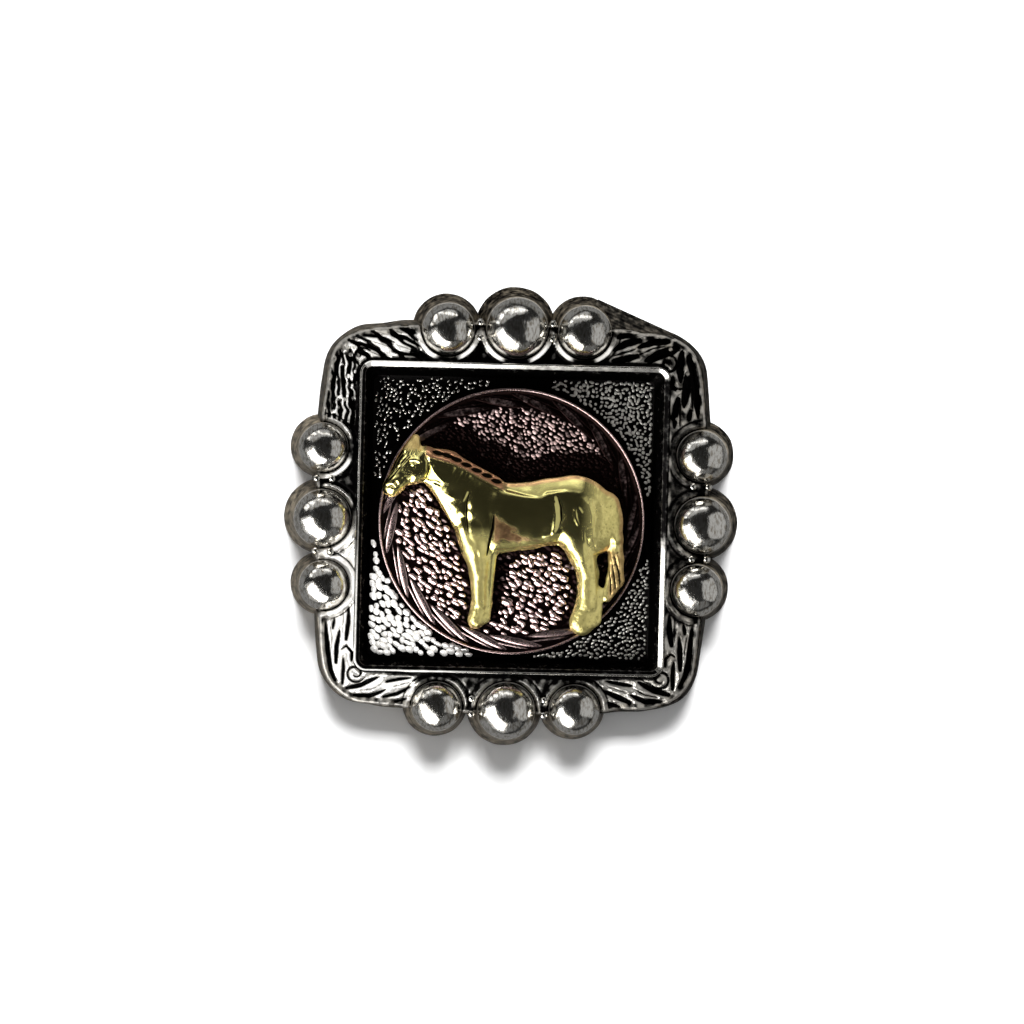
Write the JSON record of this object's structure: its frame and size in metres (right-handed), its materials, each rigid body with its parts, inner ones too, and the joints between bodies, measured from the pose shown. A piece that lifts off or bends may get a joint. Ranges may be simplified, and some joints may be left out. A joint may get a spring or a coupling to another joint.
{
  "type": "concho",
  "caption": "Square western concho: a cast silver-tone frame edged with beads and leaf scrolls, holding a copper medallion with a horse in relief.",
  "frame": {"origin": "centre of the bounding box's bottom face, in the plane of the back rim", "axes": "+Z out of the concho's front, +Y towards the concho's top, above the horse's back, +X towards the horse's tail"},
  "size_m": [0.038, 0.038, 0.006],
  "materials": {
    "base": "antiqued silver plate on a zinc alloy casting, polished on its high places and black in its recesses",
    "medallion": "antiqued copper plate with a stippled ground and a rope rim",
    "horse": "polished gold plate"
  },
  "bodies": {
    "root": {"base": "base", "medallion": "medallion", "horse": "horse"}
  },
  "joints": []
}
